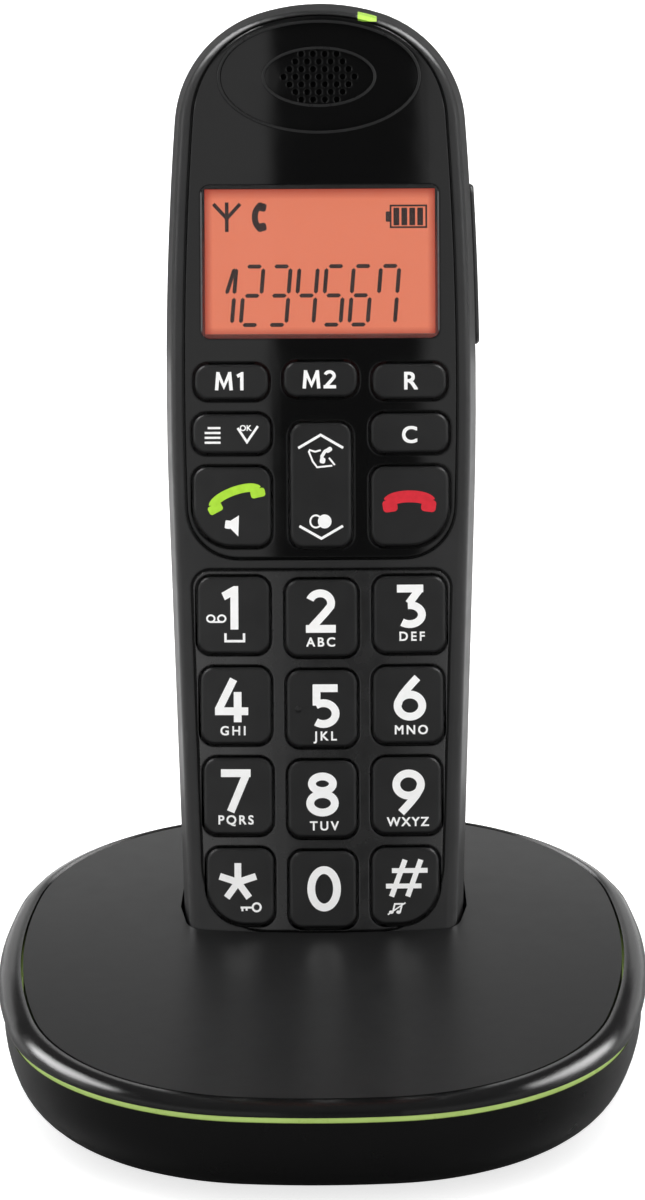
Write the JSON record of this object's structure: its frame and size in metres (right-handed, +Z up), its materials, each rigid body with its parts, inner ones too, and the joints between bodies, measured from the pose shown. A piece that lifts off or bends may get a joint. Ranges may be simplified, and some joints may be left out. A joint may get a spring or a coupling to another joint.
{
  "type": "cordless phone with charging base",
  "caption": "Big-button cordless phone handset standing in a rounded charging base, with display, sprung keys, rocker keys and a battery cover.",
  "frame": {"origin": "on the table, at the level of the feet, under the middle of the box round the whole phone and base", "axes": "+Z up, the keypad faces -Y, +X to the right of someone facing the keypad"},
  "size_m": [0.1062, 0.1378, 0.1658],
  "materials": {
    "base_black": "smooth black plastic",
    "base_satin": "satin black plastic",
    "gloss_black": "polished black plastic",
    "lime_plastic": "lime green moulding",
    "lime_lamp": "translucent lime light pipe",
    "handset_shell": "fine satin dark grey plastic",
    "keypad_frame": "satin gloss dark plastic",
    "key_plastic": "fine matt dark grey plastic",
    "lens_clear": "clear acrylic window",
    "lcd_orange": "orange backlit liquid crystal panel",
    "backlight_white": "white light guide",
    "circuit_board": "green solder mask",
    "shield_metal": "tinned steel",
    "contact_metal": "plated contact metal",
    "screw_steel": "zinc plated steel",
    "socket_plastic": "black socket plastic",
    "foot_rubber": "black rubber",
    "mat_rubber": "grey silicone rubber",
    "speaker_black": "black speaker frame",
    "cell_wrap": "green plastic sleeve"
  },
  "bodies": {
    "base": {"base_lower_housing": "base_black", "base_trim_ring": "lime_plastic", "base_rim": "gloss_black", "base_top_panel": "base_satin", "base_circuit_board": "circuit_board", "base_charging_contacts": "contact_metal", "power_socket": "socket_plastic", "line_socket": "socket_plastic", "rubber_feet": "foot_rubber", "base_screws": "screw_steel"},
    "handset": {"handset_front_housing": "handset_shell", "handset_rear_housing": "handset_shell", "display_plate": "gloss_black", "keypad_plate": "keypad_frame", "display_lens": "lens_clear", "lcd_panel": "lcd_orange", "lcd_backlight": "backlight_white", "light_pipe": "lime_lamp", "handset_circuit_board": "circuit_board", "radio_shield": "shield_metal", "antenna": "contact_metal", "microphone": "shield_metal", "earpiece_speaker": "speaker_black", "ringer_speaker": "speaker_black", "keypad_mat": "mat_rubber", "battery_cells": "cell_wrap", "battery_contacts": "contact_metal", "handset_charging_contacts": "contact_metal", "handset_screws": "screw_steel"},
    "page_button": {"page_button": "key_plastic"},
    "volume_rocker": {"volume_rocker": "key_plastic"},
    "battery_cover": {"battery_cover": "handset_shell"},
    "key_navigate": {"key_navigate": "key_plastic"},
    "key_1": {"key_1": "key_plastic"},
    "key_2": {"key_2": "key_plastic"},
    "key_3": {"key_3": "key_plastic"},
    "key_4": {"key_4": "key_plastic"},
    "key_5": {"key_5": "key_plastic"},
    "key_6": {"key_6": "key_plastic"},
    "key_7": {"key_7": "key_plastic"},
    "key_8": {"key_8": "key_plastic"},
    "key_9": {"key_9": "key_plastic"},
    "key_star": {"key_star": "key_plastic"},
    "key_0": {"key_0": "key_plastic"},
    "key_hash": {"key_hash": "key_plastic"},
    "key_m1": {"key_m1": "key_plastic"},
    "key_m2": {"key_m2": "key_plastic"},
    "key_r": {"key_r": "key_plastic"},
    "key_menu": {"key_menu": "key_plastic"},
    "key_clear": {"key_clear": "key_plastic"},
    "key_talk": {"key_talk": "key_plastic"},
    "key_end": {"key_end": "key_plastic"}
  },
  "joints": [
    {"name": "handset_lift", "type": "slide", "parent": "base", "child": "handset", "axis": [0, 0.309, 0.9511], "range_m": [0, 0.06]},
    {"name": "page_button_press", "type": "slide", "parent": "base", "child": "page_button", "axis": [0, -1, 0], "range_m": [0, 0.001], "stiffness_N_per_m": 300, "springref_m": -0.001},
    {"name": "battery_cover_swing", "type": "hinge", "parent": "handset", "child": "battery_cover", "pos_m": [0, 0.0314, 0.03836], "axis": [-1, 0, 0], "range_deg": [0, 75]},
    {"name": "volume_rocker_tilt", "type": "hinge", "parent": "handset", "child": "volume_rocker", "pos_m": [0.0209, 0.04648, 0.12232], "axis": [0, -0.9511, 0.309], "range_deg": [-1.5, 1.5], "stiffness_Nm_per_rad": 0.03},
    {"name": "key_navigate_tilt", "type": "hinge", "parent": "handset", "child": "key_navigate", "pos_m": [0, 0.02661, 0.09095], "axis": [1, 0, 0], "range_deg": [-3, 3], "stiffness_Nm_per_rad": 0.03},
    {"name": "key_1_press", "type": "slide", "parent": "handset", "child": "key_1", "axis": [0, 0.9511, -0.309], "range_m": [0, 0.0009], "stiffness_N_per_m": 300, "springref_m": -0.001},
    {"name": "key_2_press", "type": "slide", "parent": "handset", "child": "key_2", "axis": [0, 0.9511, -0.309], "range_m": [0, 0.0009], "stiffness_N_per_m": 300, "springref_m": -0.001},
    {"name": "key_3_press", "type": "slide", "parent": "handset", "child": "key_3", "axis": [0, 0.9511, -0.309], "range_m": [0, 0.0009], "stiffness_N_per_m": 300, "springref_m": -0.001},
    {"name": "key_4_press", "type": "slide", "parent": "handset", "child": "key_4", "axis": [0, 0.9511, -0.309], "range_m": [0, 0.0009], "stiffness_N_per_m": 300, "springref_m": -0.001},
    {"name": "key_5_press", "type": "slide", "parent": "handset", "child": "key_5", "axis": [0, 0.9511, -0.309], "range_m": [0, 0.0009], "stiffness_N_per_m": 300, "springref_m": -0.001},
    {"name": "key_6_press", "type": "slide", "parent": "handset", "child": "key_6", "axis": [0, 0.9511, -0.309], "range_m": [0, 0.0009], "stiffness_N_per_m": 300, "springref_m": -0.001},
    {"name": "key_7_press", "type": "slide", "parent": "handset", "child": "key_7", "axis": [0, 0.9511, -0.309], "range_m": [0, 0.0009], "stiffness_N_per_m": 300, "springref_m": -0.001},
    {"name": "key_8_press", "type": "slide", "parent": "handset", "child": "key_8", "axis": [0, 0.9511, -0.309], "range_m": [0, 0.0009], "stiffness_N_per_m": 300, "springref_m": -0.001},
    {"name": "key_9_press", "type": "slide", "parent": "handset", "child": "key_9", "axis": [0, 0.9511, -0.309], "range_m": [0, 0.0009], "stiffness_N_per_m": 300, "springref_m": -0.001},
    {"name": "key_star_press", "type": "slide", "parent": "handset", "child": "key_star", "axis": [0, 0.9511, -0.309], "range_m": [0, 0.0009], "stiffness_N_per_m": 300, "springref_m": -0.001},
    {"name": "key_0_press", "type": "slide", "parent": "handset", "child": "key_0", "axis": [0, 0.9511, -0.309], "range_m": [0, 0.0009], "stiffness_N_per_m": 300, "springref_m": -0.001},
    {"name": "key_hash_press", "type": "slide", "parent": "handset", "child": "key_hash", "axis": [0, 0.9511, -0.309], "range_m": [0, 0.0009], "stiffness_N_per_m": 300, "springref_m": -0.001},
    {"name": "key_m1_press", "type": "slide", "parent": "handset", "child": "key_m1", "axis": [0, 0.9511, -0.309], "range_m": [0, 0.0009], "stiffness_N_per_m": 300, "springref_m": -0.001},
    {"name": "key_m2_press", "type": "slide", "parent": "handset", "child": "key_m2", "axis": [0, 0.9511, -0.309], "range_m": [0, 0.0009], "stiffness_N_per_m": 300, "springref_m": -0.001},
    {"name": "key_r_press", "type": "slide", "parent": "handset", "child": "key_r", "axis": [0, 0.9511, -0.309], "range_m": [0, 0.0009], "stiffness_N_per_m": 300, "springref_m": -0.001},
    {"name": "key_menu_press", "type": "slide", "parent": "handset", "child": "key_menu", "axis": [0, 0.9511, -0.309], "range_m": [0, 0.0009], "stiffness_N_per_m": 300, "springref_m": -0.001},
    {"name": "key_clear_press", "type": "slide", "parent": "handset", "child": "key_clear", "axis": [0, 0.9511, -0.309], "range_m": [0, 0.0009], "stiffness_N_per_m": 300, "springref_m": -0.001},
    {"name": "key_talk_press", "type": "slide", "parent": "handset", "child": "key_talk", "axis": [0, 0.9511, -0.309], "range_m": [0, 0.0009], "stiffness_N_per_m": 300, "springref_m": -0.001},
    {"name": "key_end_press", "type": "slide", "parent": "handset", "child": "key_end", "axis": [0, 0.9511, -0.309], "range_m": [0, 0.0009], "stiffness_N_per_m": 300, "springref_m": -0.001}
  ]
}
